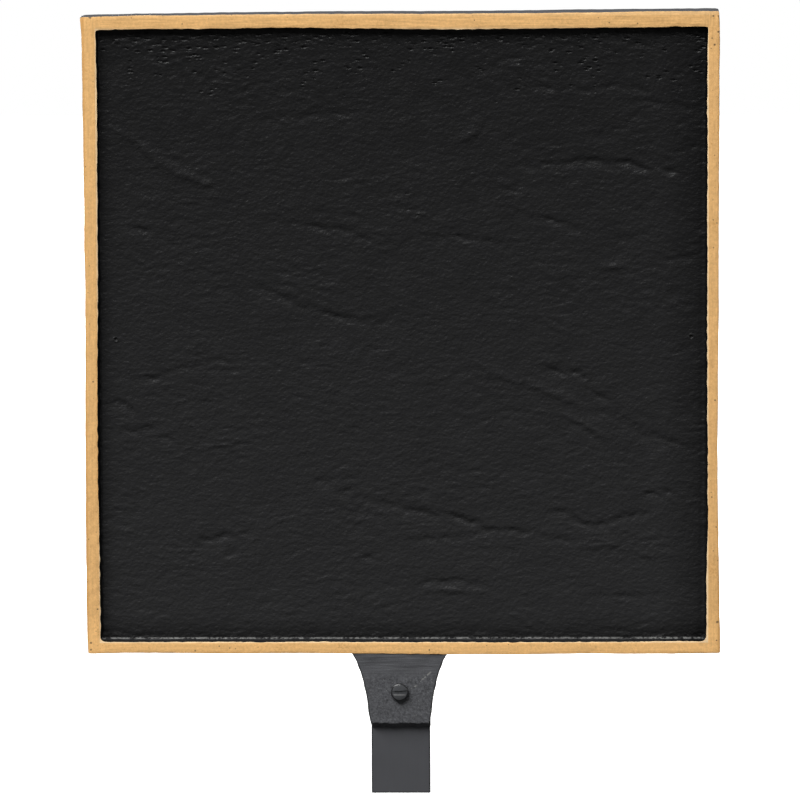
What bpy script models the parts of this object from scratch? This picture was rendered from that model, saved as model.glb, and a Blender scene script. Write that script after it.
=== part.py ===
# Lawn address sign: a square cast plaque with a raised border and a sunk blank field, whose flared tab
# is held to a flat ground stake by one slotted screw. Metres, +Z up, the sign's front looks along -Y.
# The origin is the middle of the stake's cut end, where the sign meets the ground.

import math

import bmesh
import bpy

# Plaque
PLAQUE_WIDTH = 0.3048
PLAQUE_HEIGHT = 0.3100
PLAQUE_THICKNESS = 0.0100
PLAQUE_SHIFT = 0.0014          # the plaque's middle stands this far right of the tab's and the stake's
FRONT_CORNER_RADIUS = 0.0008
BACK_CORNER_RADIUS = 0.0034
FRONT_EDGE_ROUND = 0.0004
BACK_EDGE_ROUND = 0.0012
SIDE_DRAFT_DEGREES = 0.6

# Border and sunk field
BORDER_LEFT = 0.0061
BORDER_RIGHT = 0.0056
BORDER_TOP = 0.0070
BORDER_FOOT = 0.0056
FIELD_DEPTH = 0.0040
FIELD_DRAFT_DEGREES = 12.0
FIELD_FILLET = 0.0010
FIELD_TOP_CORNER_RADIUS = 0.0012
FIELD_FOOT_CORNER_RADIUS = 0.0026
BORDER_INNER_CHAMFER = 0.0003

# Hollowed back
WEB_THICKNESS = 0.0036
BACK_RIM = 0.0095
BACK_DRAFT_DEGREES = 18.0
BACK_FILLET = 0.0010
BACK_POCKET_CORNER_RADIUS = 0.0060

# Casting marks in the field
DIMPLE_RADIUS = 0.0009
DIMPLE_DEPTH = 0.0007
DIMPLE_EDGE_DISTANCE = 0.0088  # from the border's inner edge
DIMPLE_HEIGHT_SHARE = 0.495
DIMPLE_TIP_RADIUS = 0.00015
CREASE_HALF_WIDTH = 0.0016
CREASE_DEPTH = 0.00040
RIDGE_HALF_WIDTH = 0.0018
RIDGE_HEIGHT = 0.00035
CREASE_END_SHARE = 0.35        # a crease's width at its ends, as a share of its width in the middle
CREASE_FULLNESS = 0.7          # below 1, a crease keeps its depth longer before it fades out

# Tab under the plaque
TAB_DROP = 0.0348
TAB_THICKNESS = 0.0034
TAB_SETBACK = 0.0004           # the tab's face lies this far behind the border's
TAB_TOP_HALF_WIDTH = 0.0232
TAB_WAIST_HALF_WIDTH = 0.0166  # where the flare's control point stands
TAB_WAIST_DROP = 0.0092
TAB_CHEEK = 0.0002             # the tab's foot overhangs the stake by this much on each side
TAB_CORNER_RADIUS = 0.0010
FLARE_CLEARANCE = 0.0002       # the flare's points begin this far above the foot corner's round
TAB_EDGE_ROUND = 0.0005
TAB_DRAFT_DEGREES = 3.0

# Stake
STAKE_WIDTH = 0.0284
STAKE_THICKNESS = 0.0048
STAKE_BARE_LENGTH = 0.0342     # from its cut end up to the tab's foot
STAKE_EDGE_ROUND = 0.0005
SEAT_GAP = 0.0003              # between faces that touch

# Screw through the tab into the stake
SCREW_DROP = 0.0191            # from the plaque's foot down to the screw's middle
SCREW_HEAD_RADIUS = 0.0044
SCREW_HEAD_HEIGHT = 0.0024
SCREW_HEAD_RIM = 0.0011
SHANK_RADIUS = 0.0024
SHANK_CLEARANCE = 0.0003
SHANK_PROUD = 0.0012           # the shank's end stands this far out of the stake's back
SHANK_POINT = 0.0006
SLOT_WIDTH = 0.0014
SLOT_DEPTH = 0.0011
SLOT_TURN_DEGREES = 3.0

# Smoothness of round shapes
CORNER_STEPS = 5
ROUND_STEPS = 3
FLARE_STEPS = 14
CIRCLE_STEPS = 32
CREASE_STEPS = 8

# A cutter runs on this far past the face it cuts
CUTTER_REACH = 0.0010

# Planes across the thickness
STAKE_FRONT_Y = -STAKE_THICKNESS / 2
STAKE_BACK_Y = STAKE_THICKNESS / 2
TAB_BACK_Y = STAKE_FRONT_Y - SEAT_GAP
TAB_FRONT_Y = TAB_BACK_Y - TAB_THICKNESS
FRONT_Y = TAB_FRONT_Y - TAB_SETBACK
BACK_Y = FRONT_Y + PLAQUE_THICKNESS
FIELD_Y = FRONT_Y + FIELD_DEPTH
POCKET_Y = FIELD_Y + WEB_THICKNESS

# Levels and sides
TAB_FOOT_Z = STAKE_BARE_LENGTH
PLAQUE_FOOT_Z = TAB_FOOT_Z + TAB_DROP
PLAQUE_TOP_Z = PLAQUE_FOOT_Z + PLAQUE_HEIGHT
PLAQUE_LEFT_X = PLAQUE_SHIFT - PLAQUE_WIDTH / 2
PLAQUE_RIGHT_X = PLAQUE_SHIFT + PLAQUE_WIDTH / 2
FIELD_LEFT_X = PLAQUE_LEFT_X + BORDER_LEFT
FIELD_RIGHT_X = PLAQUE_RIGHT_X - BORDER_RIGHT
FIELD_FOOT_Z = PLAQUE_FOOT_Z + BORDER_FOOT
FIELD_TOP_Z = PLAQUE_TOP_Z - BORDER_TOP
STAKE_TOP_Z = PLAQUE_FOOT_Z - SEAT_GAP
SCREW_Z = PLAQUE_FOOT_Z - SCREW_DROP

# The longest casting creases: start, end and how far the middle bows, as shares of the field's width
# and height from its lower left corner
CREASES = (
    (0.68, 0.777, 0.97, 0.757, 0.018),
    (0.24, 0.581, 0.49, 0.521, -0.011),
    (0.73, 0.452, 0.84, 0.394, 0.010),
    (0.42, 0.237, 0.78, 0.165, 0.002),
    (0.82, 0.374, 0.97, 0.317, -0.003),
    (0.73, 0.208, 0.90, 0.214, -0.018),
    (0.27, 0.688, 0.47, 0.652, 0.005),
    (0.26, 0.851, 0.43, 0.864, 0.004),
    (0.54, 0.661, 0.67, 0.647, 0.004),
    (0.68, 0.704, 0.80, 0.670, 0.003),
    (0.80, 0.818, 0.89, 0.864, -0.008),
    (0.03, 0.446, 0.19, 0.454, -0.023),
    (0.15, 0.156, 0.25, 0.178, 0.003),
    (0.52, 0.094, 0.64, 0.094, 0.007),
)
RIDGES = (
    (0.61, 0.457, 0.80, 0.386, 0.004),
    (0.02, 0.841, 0.18, 0.746, 0.003),
    (0.60, 0.815, 0.63, 0.851, -0.006),
)


def make_material(name, color, roughness, metallic=0.0):
    material = bpy.data.materials.new(name)
    material.use_nodes = True
    shader = material.node_tree.nodes["Principled BSDF"]
    shader.inputs["Base Color"].default_value = (*color, 1.0)
    shader.inputs["Roughness"].default_value = roughness
    shader.inputs["Metallic"].default_value = metallic
    return material


def enamel_material():
    return make_material("black_enamel", (0.018, 0.018, 0.018), 0.42)


def gold_material():
    return make_material("gold_paint", (0.70, 0.42, 0.17), 0.45, 0.35)


def stake_material():
    return make_material("charcoal_paint", (0.063, 0.065, 0.070), 0.50)


def screw_material():
    return make_material("blackened_steel", (0.030, 0.031, 0.034), 0.35, 0.6)


def rounded_rectangle(low, high, radii):
    """Points of a rectangle with round corners; radii go foot left, foot right, top right, top left."""
    (left, foot), (right, top) = low, high
    corners = ((left, foot, 1, 1), (right, foot, -1, 1), (right, top, -1, -1), (left, top, 1, -1))
    points = []
    for index, (corner, radius) in enumerate(zip(corners, radii)):
        x, z, toward_x, toward_z = corner
        for step in range(CORNER_STEPS + 1):
            angle = math.radians(180 + 90 * index + 90 * step / CORNER_STEPS)
            points.append((x + radius * (toward_x + math.cos(angle)),
                           z + radius * (toward_z + math.sin(angle))))
    return points


def circle(radius):
    angles = [2 * math.pi * step / CIRCLE_STEPS for step in range(CIRCLE_STEPS)]
    return [(radius * math.cos(angle), radius * math.sin(angle)) for angle in angles]


def inset_outline(points, inset):
    """Moves each side of a counter-clockwise outline inwards by the inset."""
    moved = []
    count = len(points)
    for index in range(count):
        before, here, after = points[index - 1], points[index], points[(index + 1) % count]
        normals = []
        for start, end in ((before, here), (here, after)):
            length = math.dist(start, end)
            normals.append(((start[1] - end[1]) / length, (end[0] - start[0]) / length))
        sum_x = normals[0][0] + normals[1][0]
        sum_z = normals[0][1] + normals[1][1]
        scale = 2 * inset / (sum_x ** 2 + sum_z ** 2)
        moved.append((here[0] + scale * sum_x, here[1] + scale * sum_z))
    return moved


def upright_ring(points, y):
    """A ring that stands in a plane parallel to the sign's face."""
    return [(x, y, z) for x, z in points]


def quarter_round(radius):
    """Steps along a quarter circle, as pairs of the inset from the side and the depth below the face."""
    angles = [math.pi / 2 * step / ROUND_STEPS for step in range(ROUND_STEPS + 1)]
    return [(radius * (1 - math.sin(angle)), radius * (1 - math.cos(angle))) for angle in angles]


def loft(mesh, rings):
    """Bridges a row of closed rings with equal numbers of points, and closes both ends."""
    loops = []
    for ring in rings:
        verts = [mesh.verts.new(point) for point in ring]
        edges = [mesh.edges.new(pair) for pair in zip(verts, verts[1:] + verts[:1])]
        loops.append((verts, edges))
    for near, far in zip(loops, loops[1:]):
        bmesh.ops.bridge_loops(mesh, edges=near[1] + far[1])
    first_cap = mesh.faces.new(loops[0][0])
    mesh.faces.new(loops[-1][0])
    bmesh.ops.recalc_face_normals(mesh, faces=mesh.faces)
    return first_cap


def make_object(name, mesh, materials=()):
    data = bpy.data.meshes.new(name)
    mesh.to_mesh(data)
    mesh.free()
    for material in materials:
        data.materials.append(material)
    made = bpy.data.objects.new(name, data)
    bpy.context.scene.collection.objects.link(made)
    return made


def make_cutter(name, mesh):
    cutter = make_object(name, mesh)
    cutter.hide_render = True
    cutter.display_type = "WIRE"
    return cutter


def lofted_cutter(name, rings):
    mesh = bmesh.new()
    loft(mesh, rings)
    return make_cutter(name, mesh)


def add_boolean(target, tool, operation):
    modifier = target.modifiers.new(tool.name, "BOOLEAN")
    modifier.operation = operation
    modifier.solver = "EXACT"
    modifier.object = tool


def shade_round(made, angle_degrees=35):
    made.data.shade_smooth()
    made.data.set_sharp_from_angle(angle=math.radians(angle_degrees))


def plaque_ring(y, inset, radius):
    low = (PLAQUE_LEFT_X + inset, PLAQUE_FOOT_Z + inset)
    high = (PLAQUE_RIGHT_X - inset, PLAQUE_TOP_Z - inset)
    return upright_ring(rounded_rectangle(low, high, (radius,) * 4), y)


def field_ring(y, inset):
    low = (FIELD_LEFT_X + inset, FIELD_FOOT_Z + inset)
    high = (FIELD_RIGHT_X - inset, FIELD_TOP_Z - inset)
    radii = (FIELD_FOOT_CORNER_RADIUS,) * 2 + (FIELD_TOP_CORNER_RADIUS,) * 2
    return upright_ring(rounded_rectangle(low, high, radii), y)


def pocket_ring(y, inset):
    low = (PLAQUE_LEFT_X + BACK_RIM + inset, PLAQUE_FOOT_Z + BACK_RIM + inset)
    high = (PLAQUE_RIGHT_X - BACK_RIM - inset, PLAQUE_TOP_Z - BACK_RIM - inset)
    return upright_ring(rounded_rectangle(low, high, (BACK_POCKET_CORNER_RADIUS,) * 4), y)


def plaque_body():
    """The square slab: round front edges, sides that draw in a little and softer back edges."""
    draw_in = PLAQUE_THICKNESS * math.tan(math.radians(SIDE_DRAFT_DEGREES))
    rings = [plaque_ring(FRONT_Y + depth, inset, FRONT_CORNER_RADIUS)
             for inset, depth in quarter_round(FRONT_EDGE_ROUND)]
    rings += [plaque_ring(BACK_Y - depth, draw_in + inset, BACK_CORNER_RADIUS)
              for inset, depth in reversed(quarter_round(BACK_EDGE_ROUND))]
    mesh = bmesh.new()
    front = loft(mesh, rings)
    front.material_index = 1
    return make_object("plaque", mesh, (enamel_material(), gold_material()))


def sunk_rings(ring, mouth_y, floor_y, draft_degrees, fillet, chamfer):
    """Rings of a tool that sinks a drafted recess with a fillet round its floor."""
    inward = 1 if floor_y > mouth_y else -1
    slope = math.tan(math.radians(draft_degrees))
    wall_height = abs(floor_y - mouth_y) - fillet
    wall_inset = slope * wall_height
    rings = [ring(mouth_y - inward * CUTTER_REACH, -chamfer - CUTTER_REACH),
             ring(mouth_y + inward * chamfer, slope * chamfer)]
    for inset, depth in quarter_round(fillet):
        rings.append(ring(floor_y - inward * inset, wall_inset + depth))
    return list(reversed(rings)) if inward < 0 else rings


def field_cutter():
    rings = sunk_rings(field_ring, FRONT_Y, FIELD_Y, FIELD_DRAFT_DEGREES, FIELD_FILLET, BORDER_INNER_CHAMFER)
    return lofted_cutter("field_cutter", rings)


def pocket_cutter():
    rings = sunk_rings(pocket_ring, BACK_Y, POCKET_Y, BACK_DRAFT_DEGREES, BACK_FILLET, BORDER_INNER_CHAMFER)
    return lofted_cutter("pocket_cutter", rings)


def tab_flare():
    """The tab's right side from the plaque's foot down: a quadratic curve to just beside the stake."""
    top = (TAB_TOP_HALF_WIDTH, 0.0)
    waist = (TAB_WAIST_HALF_WIDTH, TAB_WAIST_DROP)
    foot = (STAKE_WIDTH / 2 + TAB_CHEEK, TAB_DROP)
    points = []
    for step in range(FLARE_STEPS + 1):
        t = step / FLARE_STEPS
        weights = ((1 - t) ** 2, 2 * t * (1 - t), t ** 2)
        half_width = sum(w * point[0] for w, point in zip(weights, (top, waist, foot)))
        drop = sum(w * point[1] for w, point in zip(weights, (top, waist, foot)))
        points.append((half_width, PLAQUE_FOOT_Z - drop))
    return points


def tab_outline():
    """Counter-clockwise from the foot's right corner, up into the border and down the other side."""
    flare = tab_flare()
    foot_x, foot_z = flare[-1]
    root_z = PLAQUE_FOOT_Z + BORDER_FOOT / 2
    corner = []
    for step in range(ROUND_STEPS + 1):
        angle = math.pi / 2 * step / ROUND_STEPS
        corner.append((foot_x - TAB_CORNER_RADIUS * (1 - math.sin(angle)),
                       foot_z + TAB_CORNER_RADIUS * (1 - math.cos(angle))))
    side = [point for point in reversed(flare) if point[1] > foot_z + TAB_CORNER_RADIUS + FLARE_CLEARANCE]
    right = corner + side + [(TAB_TOP_HALF_WIDTH, root_z)]
    left = [(-x, z) for x, z in reversed(right)]
    return right + left


def tab_body():
    """The flared tab: round front edges and sides that spread a little towards the back."""
    outline = tab_outline()
    spread = TAB_THICKNESS * math.tan(math.radians(TAB_DRAFT_DEGREES))
    rings = [upright_ring(inset_outline(outline, spread + inset), TAB_FRONT_Y + depth)
             for inset, depth in quarter_round(TAB_EDGE_ROUND)]
    rings.append(upright_ring(outline, TAB_BACK_Y))
    return lofted_cutter("tab_body", rings)


def hole_cutter(name, near_y, far_y):
    radius = SHANK_RADIUS + SHANK_CLEARANCE
    points = [(x, SCREW_Z + z) for x, z in circle(radius)]
    return lofted_cutter(name, [upright_ring(points, near_y), upright_ring(points, far_y)])


def dimple_cutter():
    """Two small drill-point marks at the middle of the field's height, one beside each side wall."""
    z = FIELD_FOOT_Z + DIMPLE_HEIGHT_SHARE * (FIELD_TOP_Z - FIELD_FOOT_Z)
    slope = DIMPLE_RADIUS / DIMPLE_DEPTH
    mouth_radius = DIMPLE_RADIUS + slope * SEAT_GAP
    mesh = bmesh.new()
    for x in (FIELD_LEFT_X + DIMPLE_EDGE_DISTANCE, FIELD_RIGHT_X - DIMPLE_EDGE_DISTANCE):
        mouth = [(x + a, z + b) for a, b in circle(mouth_radius)[::2]]
        tip = [(x + a, z + b) for a, b in circle(DIMPLE_TIP_RADIUS)[::2]]
        loft(mesh, [upright_ring(mouth, FIELD_Y - SEAT_GAP), upright_ring(tip, FIELD_Y + DIMPLE_DEPTH)])
    return make_cutter("dimple_cutter", mesh)


def crease_line(crease):
    """Points and side directions along a crease, a shallow bow between its two ends."""
    u0, v0, u1, v1, bow = crease
    width = FIELD_RIGHT_X - FIELD_LEFT_X
    height = FIELD_TOP_Z - FIELD_FOOT_Z
    start = (FIELD_LEFT_X + u0 * width, FIELD_FOOT_Z + v0 * height)
    end = (FIELD_LEFT_X + u1 * width, FIELD_FOOT_Z + v1 * height)
    length = math.dist(start, end)
    side = ((start[1] - end[1]) / length, (end[0] - start[0]) / length)
    stations = []
    for step in range(CREASE_STEPS + 1):
        t = step / CREASE_STEPS
        lift = 4 * bow * height * t * (1 - t)
        x = start[0] + t * (end[0] - start[0]) + lift * side[0]
        z = start[1] + t * (end[1] - start[1]) + lift * side[1]
        stations.append((x, z, side, math.sin(math.pi * t) ** CREASE_FULLNESS))
    return stations


def crease_body(mesh, crease, half_width, depth, into):
    """A three-sided sliver that fades out at both ends; into is 1 for a groove and -1 for a ridge."""
    base_y = FIELD_Y - into * SEAT_GAP
    rings = []
    for x, z, side, swell in crease_line(crease):
        reach = half_width * (CREASE_END_SHARE + (1 - CREASE_END_SHARE) * swell)
        apex_y = FIELD_Y + into * (swell * (depth + SEAT_GAP / 2) - SEAT_GAP / 2)
        rings.append([(x - reach * side[0], base_y, z - reach * side[1]),
                      (x, apex_y, z),
                      (x + reach * side[0], base_y, z + reach * side[1])])
    loft(mesh, rings)


def crease_cutter():
    mesh = bmesh.new()
    for crease in CREASES:
        crease_body(mesh, crease, CREASE_HALF_WIDTH, CREASE_DEPTH, 1)
    return make_cutter("crease_cutter", mesh)


def ridge_adder():
    mesh = bmesh.new()
    for ridge in RIDGES:
        crease_body(mesh, ridge, RIDGE_HALF_WIDTH, RIDGE_HEIGHT, -1)
    return make_cutter("ridge_adder", mesh)


def make_plaque():
    """One casting: slab, border, sunk field with its creases, hollowed back and tab."""
    plaque = plaque_body()
    add_boolean(plaque, tab_body(), "UNION")
    add_boolean(plaque, field_cutter(), "DIFFERENCE")
    add_boolean(plaque, pocket_cutter(), "DIFFERENCE")
    hole = hole_cutter("tab_hole_cutter", TAB_FRONT_Y - CUTTER_REACH, TAB_BACK_Y + CUTTER_REACH)
    add_boolean(plaque, hole, "DIFFERENCE")
    add_boolean(plaque, crease_cutter(), "DIFFERENCE")
    add_boolean(plaque, ridge_adder(), "UNION")
    add_boolean(plaque, dimple_cutter(), "DIFFERENCE")
    return plaque


def make_stake():
    """A flat bar, cut square at both ends, whose top butts against the plaque's foot behind the tab."""
    low = (-STAKE_WIDTH / 2, STAKE_FRONT_Y)
    high = (STAKE_WIDTH / 2, STAKE_BACK_Y)
    section = rounded_rectangle(low, high, (STAKE_EDGE_ROUND,) * 4)
    mesh = bmesh.new()
    loft(mesh, [[(x, y, z) for x, y in section] for z in (0.0, STAKE_TOP_Z)])
    stake = make_object("stake", mesh, (stake_material(),))
    hole = hole_cutter("stake_hole_cutter", STAKE_FRONT_Y - CUTTER_REACH, STAKE_BACK_Y + CUTTER_REACH)
    add_boolean(stake, hole, "DIFFERENCE")
    shade_round(stake)
    return stake


def slot_cutter(face_y):
    """The driver slot, turned a little out of level as the screw was left."""
    turn = math.radians(SLOT_TURN_DEGREES)
    half_length = SCREW_HEAD_RADIUS + CUTTER_REACH
    half_width = SLOT_WIDTH / 2
    corners = ((-half_length, -half_width), (half_length, -half_width),
               (half_length, half_width), (-half_length, half_width))
    points = [(x * math.cos(turn) - z * math.sin(turn), SCREW_Z + x * math.sin(turn) + z * math.cos(turn))
              for x, z in corners]
    return lofted_cutter("slot_cutter", [upright_ring(points, face_y - CUTTER_REACH),
                                         upright_ring(points, face_y + SLOT_DEPTH)])


def make_screw():
    """A slotted pan head and its shank, turned about a level axis through the tab and the stake."""
    seat_y = TAB_FRONT_Y - SEAT_GAP
    face_y = seat_y - SCREW_HEAD_HEIGHT
    dome = SCREW_HEAD_HEIGHT - SCREW_HEAD_RIM
    profile = []
    for step in range(1, CORNER_STEPS + 1):
        angle = math.pi / 2 * step / CORNER_STEPS
        profile.append((SCREW_HEAD_RADIUS * math.sin(angle), face_y + dome * (1 - math.cos(angle))))
    profile.append((SCREW_HEAD_RADIUS, seat_y))
    profile.append((SHANK_RADIUS, seat_y))
    profile.append((SHANK_RADIUS, STAKE_BACK_Y + SHANK_PROUD - SHANK_POINT))
    profile.append((SHANK_RADIUS - SHANK_POINT, STAKE_BACK_Y + SHANK_PROUD))
    mesh = bmesh.new()
    loft(mesh, [upright_ring([(x, SCREW_Z + z) for x, z in circle(radius)], y) for radius, y in profile])
    screw = make_object("stake_screw", mesh, (screw_material(),))
    add_boolean(screw, slot_cutter(face_y), "DIFFERENCE")
    shade_round(screw)
    return screw


def main():
    for old in list(bpy.data.objects):
        bpy.data.objects.remove(old, do_unlink=True)
    make_plaque()
    make_stake()
    make_screw()


main()
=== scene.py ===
# Lawn address sign: the looks of the cast plaque, the flat stake behind its tab and the screw between them
import math
import bmesh
import bpy
import numpy as np
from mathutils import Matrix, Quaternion, Vector


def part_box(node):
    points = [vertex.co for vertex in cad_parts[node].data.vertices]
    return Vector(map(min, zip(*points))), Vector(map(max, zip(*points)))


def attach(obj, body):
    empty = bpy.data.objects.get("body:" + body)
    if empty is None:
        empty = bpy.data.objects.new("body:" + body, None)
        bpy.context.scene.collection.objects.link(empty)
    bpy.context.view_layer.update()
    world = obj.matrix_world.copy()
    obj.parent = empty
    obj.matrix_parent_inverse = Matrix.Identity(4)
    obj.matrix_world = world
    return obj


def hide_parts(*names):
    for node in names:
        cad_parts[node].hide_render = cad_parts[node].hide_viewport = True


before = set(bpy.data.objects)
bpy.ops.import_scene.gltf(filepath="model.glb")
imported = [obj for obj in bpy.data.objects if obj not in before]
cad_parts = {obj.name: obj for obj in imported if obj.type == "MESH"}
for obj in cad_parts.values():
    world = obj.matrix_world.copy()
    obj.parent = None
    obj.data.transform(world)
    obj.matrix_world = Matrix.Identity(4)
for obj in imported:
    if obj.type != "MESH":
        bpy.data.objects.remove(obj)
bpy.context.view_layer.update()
mm = 0.001
hair = 1e-6  # places closer than this, in metres, are the same

plaqueLow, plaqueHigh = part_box("plaque")
stakeLow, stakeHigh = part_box("stake")
screwLow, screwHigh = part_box("stake_screw")
screwPlace = (screwLow + screwHigh) / 2
print("frame loaded:", sorted(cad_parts))


# Selecting and editing

def deselectAll():
    if bpy.context.mode != "OBJECT":
        bpy.ops.object.mode_set(mode="OBJECT")
    bpy.ops.object.select_all(action="DESELECT")


def startPiece(name):
    # the primitive that was just added becomes the piece, with its place in its mesh
    piece = bpy.context.object
    piece.name = name
    piece.data.name = name
    bpy.ops.object.transform_apply(location=True, rotation=True, scale=True)
    return piece


def makeActive(piece):
    deselectAll()
    piece.select_set(True)
    bpy.context.view_layer.objects.active = piece


def selectFaces(piece, test):
    # in edit mode: only the faces whose middle and normal pass the test
    bpy.ops.mesh.select_mode(type="FACE")
    mesh = bmesh.from_edit_mesh(piece.data)
    for face in mesh.faces:
        face.select_set(test(face.calc_center_median(), face.normal))
    mesh.select_flush_mode()
    bmesh.update_edit_mesh(piece.data)


def selectEdges(piece, test):
    # in edit mode: only the edges whose two ends pass the test
    bpy.ops.mesh.select_mode(type="EDGE")
    mesh = bmesh.from_edit_mesh(piece.data)
    for edge in mesh.edges:
        edge.select_set(all(test(vert.co) for vert in edge.verts))
    mesh.select_flush_mode()
    bmesh.update_edit_mesh(piece.data)


def readPoints(piece):
    points = np.empty(len(piece.data.vertices) * 3)
    piece.data.vertices.foreach_get("co", points)
    return points.reshape(-1, 3)


def writePoints(piece, points):
    piece.data.vertices.foreach_set("co", points.ravel())
    piece.data.update()


def cutWith(piece, tool, operation):
    # a Boolean, applied, and its tool removed
    makeActive(piece)
    modifier = piece.modifiers.new(tool.name, "BOOLEAN")
    modifier.operation = operation
    modifier.solver = "EXACT"
    modifier.object = tool
    bpy.ops.object.modifier_apply(modifier=modifier.name)
    bpy.data.objects.remove(tool, do_unlink=True)


def softStep(value, start, end):
    share = np.clip((value - start) / (end - start), 0, 1)
    return share * share * (3 - 2 * share)


# Cast skin: sums of seeded plane waves, so every run gives the same surface

def skinWaves(across, up, wavelength, spread, stretch, slant, seed, count):
    # wavelength is measured in mm across the ripples, which run slant degrees off level and are stretch
    # times longer; the dictionaries name such waves by these six values
    draw = np.random.default_rng(seed)
    height = np.zeros_like(across)
    turn = math.radians(slant)
    along = across * math.cos(turn) + up * math.sin(turn)
    over = up * math.cos(turn) - across * math.sin(turn)
    for wave in range(count):
        length = wavelength * math.exp(draw.normal(0, spread))
        lean = draw.normal(0, 1.0) / stretch
        phase = draw.uniform(0, 2 * math.pi)
        pitch = 2 * math.pi / length
        height += np.sin(pitch * (over * math.cos(lean) + along * math.sin(lean)) + phase)
    return height * math.sqrt(2 / count)


def wander(along, wavelength, seed, count=14):
    # a wavering line of about unit swing, in the units of the places along it
    draw = np.random.default_rng(seed)
    swing = np.zeros_like(along)
    for wave in range(count):
        length = wavelength * math.exp(draw.normal(0, 0.45))
        swing += np.sin(2 * math.pi * along / length + draw.uniform(0, 2 * math.pi))
    return swing * math.sqrt(2 / count)


# The casting: sunk field, raised border, sides and hollowed back

casting = dict(
    cellsAcross=186, cellsUp=330,
    borderLeft=5.95 * mm, borderRight=5.4 * mm, borderTop=7.0 * mm, borderFoot=5.52 * mm,
    fieldDepth=4.0 * mm, webThickness=3.6 * mm,
    wallDraft=12.0, wallRing=1.6 * mm, fillet=1.0 * mm, fieldFootCorner=2.6 * mm, fieldTopCorner=1.2 * mm,
    lipRound=0.24 * mm, edgeRound=0.40 * mm, backRound=1.2 * mm, sideDraw=0.10 * mm,
    frontCorner=0.55 * mm, backCorner=1.0 * mm,
    backRim=9.5 * mm, pocketDraft=18.0, pocketCorner=6.0 * mm,
    seatGap=0.3 * mm, lipRough=0.08, wallRough=0.10, wallSwing=0.05, edgeSwing=(0.04, 0.025),
    uprightWaves=(42 * mm, 9 * mm), levelWaves=(45 * mm, 8 * mm), onEdge=(0.985, 0.998),
    lipSeed=500, filletSeed=540, edgeSeed=600,
    faceSwell=0.035, faceDrop=0.03, sideSwell=0.03, smoothAngle=38,
    faceWaves=(6.0, 0.4, 1.0, 0, 21, 60), sideWaves=(14.0, 0.4, 1.0, 0, 22, 40),
    reliefFade=(1.0, 0.9, 0.7, 0.5, 0.3),  # the skin's share on the floor and on each ring of the fillet
)

frontY = plaqueLow.y
backY = plaqueHigh.y
fieldY = frontY + casting["fieldDepth"]
pocketY = fieldY + casting["webThickness"]
plaqueFoot = stakeHigh.z + casting["seatGap"]
outerRect = (plaqueLow.x, plaqueFoot, plaqueHigh.x, plaqueHigh.z)
fieldRect = (plaqueLow.x + casting["borderLeft"], plaqueFoot + casting["borderFoot"],
             plaqueHigh.x - casting["borderRight"], plaqueHigh.z - casting["borderTop"])
rim = casting["backRim"]
pocketRect = (outerRect[0] + rim, outerRect[1] + rim, outerRect[2] - rim, outerRect[3] - rim)

# the casting's rings, counted from the field's floor outwards and round to the back
filletRings = range(1, 5)
faceRings = range(7, 12)
sideRings = range(13, 19)


def shrink(rect, inset):
    return (rect[0] + inset, rect[1] + inset, rect[2] - inset, rect[3] - inset)


def between(first, second, share):
    return tuple(a + (b - a) * share for a, b in zip(first, second))


def castingRings():
    # each ring: its rectangle, how deep it lies, its corners' radii at the foot and top, and how much it
    # follows the lip's and the outer edge's own wavering
    c = casting
    slope = math.tan(math.radians(c["wallDraft"]))
    wall = slope * (c["fieldDepth"] - c["fillet"])
    corners = (c["fieldFootCorner"], c["fieldTopCorner"])
    front = (c["frontCorner"],) * 2
    back = (c["backCorner"],) * 2
    pocket = (c["pocketCorner"],) * 2
    rings = [(shrink(fieldRect, wall + c["fillet"]), c["fieldDepth"], corners, 0.6, 0)]
    for turn in (30, 60, 90):
        angle = math.radians(turn)
        inset = wall + c["fillet"] * (1 - math.sin(angle))
        depth = c["fieldDepth"] - c["fillet"] * (1 - math.cos(angle))
        rings.append((shrink(fieldRect, inset), depth, corners, 0.7, 0))
    rings.append((shrink(fieldRect, slope * c["wallRing"]), c["wallRing"], corners, 0.85, 0))
    lip = c["lipRound"]
    rings.append((shrink(fieldRect, slope * 1.5 * lip), 1.5 * lip, corners, 1, 0))
    rings.append((shrink(fieldRect, -0.25 * lip), 0.4 * lip, corners, 1, 0))
    lipRect = shrink(fieldRect, -lip)
    rings.append((lipRect, 0, corners, 1, 0))
    edge = c["edgeRound"]
    edgeRect = shrink(outerRect, edge)
    for share in (0.25, 0.5, 0.75):
        rings.append((between(lipRect, edgeRect, share), 0, front, 1 - share, share))
    rings.append((edgeRect, 0, front, 0, 1))
    rings.append((shrink(outerRect, 0.3 * edge), 0.3 * edge, front, 0, 1))
    rings.append((outerRect, edge, front, 0, 1))
    thickness = backY - frontY
    draw = c["sideDraw"]
    soft = c["backRound"]
    rings.append((shrink(outerRect, draw / 2), thickness / 2, between(front, back, 0.5), 0, 1))
    rings.append((shrink(outerRect, draw), thickness - soft, back, 0, 1))
    for turn in (45, 90):
        angle = math.radians(turn)
        rings.append((shrink(outerRect, draw + soft * (1 - math.cos(angle))),
                      thickness - soft * (1 - math.sin(angle)), back, 0, 1))
    floor = pocketY - frontY
    pocketSlope = math.tan(math.radians(c["pocketDraft"]))
    rings.append((shrink(pocketRect, -lip), thickness, pocket, 0, 0))
    rings.append((shrink(pocketRect, pocketSlope * lip), thickness - lip, pocket, 0, 0))
    pocketWall = pocketSlope * (thickness - floor - c["fillet"])
    for turn in (90, 45, 0):
        angle = math.radians(turn)
        rings.append((shrink(pocketRect, pocketWall + c["fillet"] * (1 - math.sin(angle))),
                      floor + c["fillet"] * (1 - math.cos(angle)), pocket, 0, 0))
    return rings


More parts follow.
